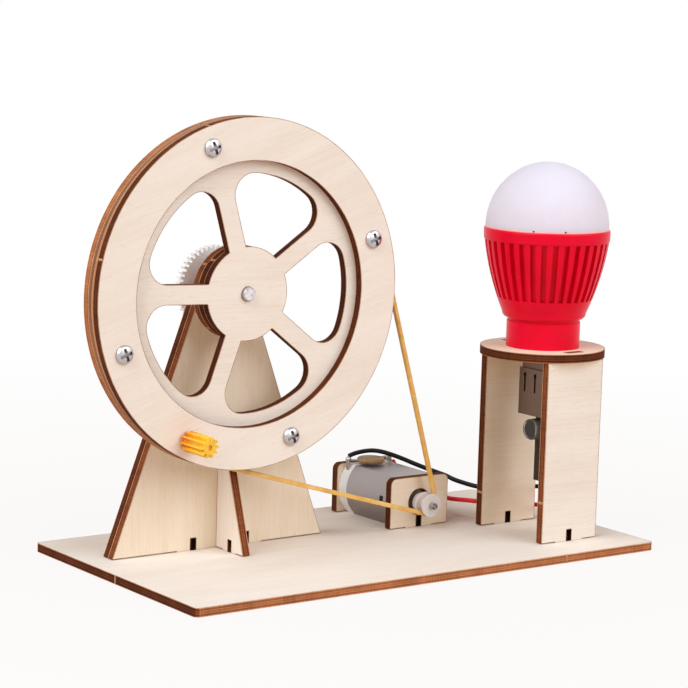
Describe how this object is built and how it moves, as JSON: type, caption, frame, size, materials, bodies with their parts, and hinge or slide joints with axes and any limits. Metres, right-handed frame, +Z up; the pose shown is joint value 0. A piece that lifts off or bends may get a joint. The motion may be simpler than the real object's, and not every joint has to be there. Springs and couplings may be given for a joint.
{
  "type": "hand crank generator",
  "caption": "Plywood hand crank generator: a spoked flywheel with a crank knob drives a small motor by a rubber belt and lights a plug-in bulb on a post.",
  "frame": {"origin": "middle of the base plate's underside, on the table", "axes": "+X along the base from the flywheel to the lamp, +Y to the back, +Z up"},
  "size_m": [0.166, 0.086, 0.1265],
  "materials": {
    "plywood": "sanded basswood plywood with burnt laser-cut edges",
    "motor_steel": "plated steel",
    "bright_metal": "bright zinc plate",
    "brass": "plain",
    "copper": "plain copper",
    "white_plastic": "moulded nylon",
    "dark_parts": "moulded",
    "tan_ceramic": "dipped coating",
    "circuit_board": "solder mask",
    "amber_rubber": "translucent natural rubber",
    "black_wire": "extruded insulation",
    "red_wire": "extruded insulation",
    "amber_plastic": "translucent moulded",
    "red_plastic": "moulded",
    "milky_plastic": "frosted diffuser"
  },
  "bodies": {
    "frame": {"base_plate": "plywood", "stand_front_plate": "plywood", "stand_rear_plate": "plywood", "stand_gusset": "plywood", "motor_front_plate": "plywood", "motor_rear_plate": "plywood", "motor_can": "motor_steel", "motor_end_cap": "white_plastic", "motor_magnets": "dark_parts", "motor_front_bush": "brass", "motor_rear_bush": "brass", "motor_brushes": "brass", "motor_terminals": "bright_metal", "noise_capacitor": "tan_ceramic", "lamp_front_post": "plywood", "lamp_rear_post": "plywood", "lamp_top_disc": "plywood", "boost_board": "circuit_board", "boost_parts": "dark_parts", "storage_capacitor": "dark_parts", "socket_shell": "bright_metal", "socket_tongue": "dark_parts", "drive_belt": "amber_rubber", "black_wire": "black_wire", "red_wire": "red_wire"},
    "flywheel": {"wheel_front_ring": "plywood", "wheel_spoke_disc": "plywood", "wheel_rear_ring": "plywood", "hub_disc_front": "plywood", "hub_disc_rear": "plywood", "wheel_axle": "bright_metal", "axle_sleeve": "white_plastic", "axle_gear": "white_plastic", "wheel_screws": "bright_metal", "crank_pin": "bright_metal"},
    "knob": {"crank_knob": "amber_plastic"},
    "rotor": {"motor_shaft": "bright_metal", "rotor_stack": "motor_steel", "rotor_windings": "copper", "commutator": "copper", "drive_pulley": "white_plastic"},
    "bulb": {"bulb_housing": "red_plastic", "bulb_dome": "milky_plastic", "bulb_led_board": "white_plastic", "bulb_leds": "amber_plastic", "plug_shell": "bright_metal", "plug_core": "white_plastic"}
  },
  "joints": [
    {"name": "flywheel_spin", "type": "hinge", "parent": "frame", "child": "flywheel", "pos_m": [-0.0365, 0.003, 0.077], "axis": [0, -1, 0], "continuous": true},
    {"name": "rotor_spin", "type": "hinge", "parent": "frame", "child": "rotor", "pos_m": [0.0308, 0.003, 0.01005], "axis": [0, -1, 0], "continuous": true},
    {"name": "knob_spin", "type": "hinge", "parent": "flywheel", "child": "knob", "pos_m": [-0.05668, -0.007, 0.03739], "axis": [0, -1, 0], "continuous": true},
    {"name": "bulb_unplug", "type": "slide", "parent": "frame", "child": "bulb", "axis": [0, 0, 1], "range_m": [0, 0.02]}
  ],
  "couplings": [
    {"joint": "rotor_spin", "follows": "flywheel_spin", "ratio": 16.424}
  ]
}
